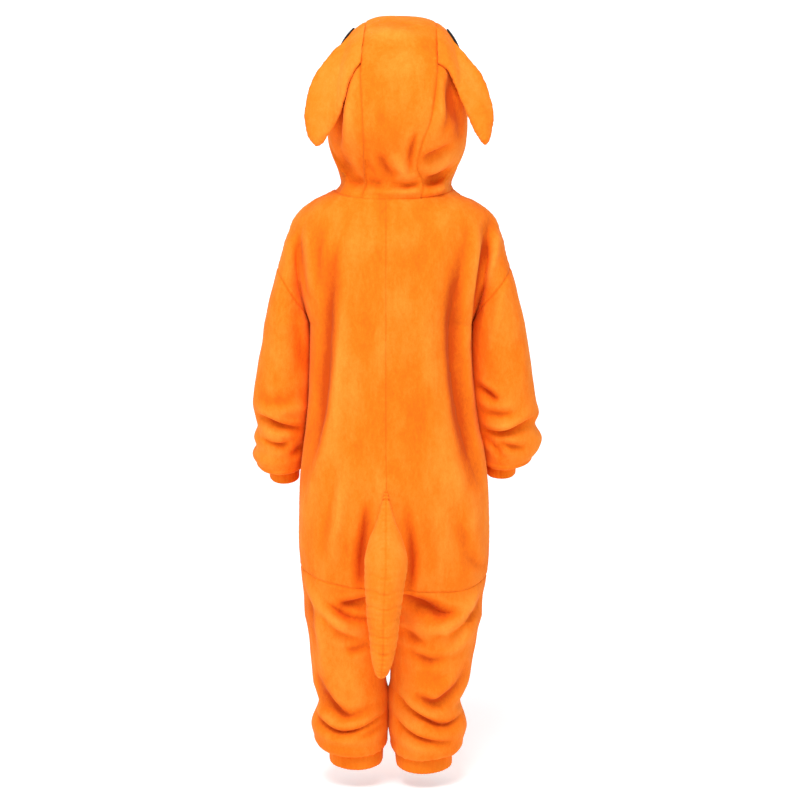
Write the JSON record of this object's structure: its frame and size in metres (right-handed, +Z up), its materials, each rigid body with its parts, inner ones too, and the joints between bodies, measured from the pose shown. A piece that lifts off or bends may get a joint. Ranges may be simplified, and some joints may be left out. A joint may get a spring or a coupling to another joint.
{
  "type": "kangaroo onesie",
  "caption": "Hooded one-piece fleece costume with drooping ears, padded tail, button front, long sleeves and legs gathered into bands, hollow as worn.",
  "frame": {"origin": "middle of the neck seam between the shoulders, where the garment hangs on its wearer, 920 mm above the ground the wearer stands on", "axes": "+Z up, the back of the garment faces -Y, the front +Y, and its left sleeve is on -X"},
  "size_m": [0.4491, 0.2848, 1.1737],
  "materials": {
    "orange_fleece": "short-pile orange polyester fleece, soft and matt with a slight sheen",
    "black_felt": "matt black felt",
    "button_plastic": "satin orange plastic"
  },
  "bodies": {
    "root": {"hood_centre": "orange_fleece", "hood_left": "orange_fleece", "hood_right": "orange_fleece", "ear_left_back": "orange_fleece", "ear_left_front": "orange_fleece", "ear_right_back": "orange_fleece", "ear_right_front": "orange_fleece", "eye_left": "black_felt", "eye_right": "black_felt", "back_left": "orange_fleece", "back_right": "orange_fleece", "front_left": "orange_fleece", "front_right": "orange_fleece", "sleeve_left": "orange_fleece", "sleeve_right": "orange_fleece", "wrist_band_left": "orange_fleece", "wrist_band_right": "orange_fleece", "leg_left": "orange_fleece", "leg_right": "orange_fleece", "ankle_band_left": "orange_fleece", "ankle_band_right": "orange_fleece", "tail_left": "orange_fleece", "tail_right": "orange_fleece", "front_strip": "orange_fleece", "button_1": "button_plastic", "button_2": "button_plastic", "button_3": "button_plastic", "button_4": "button_plastic", "button_5": "button_plastic"}
  },
  "joints": []
}
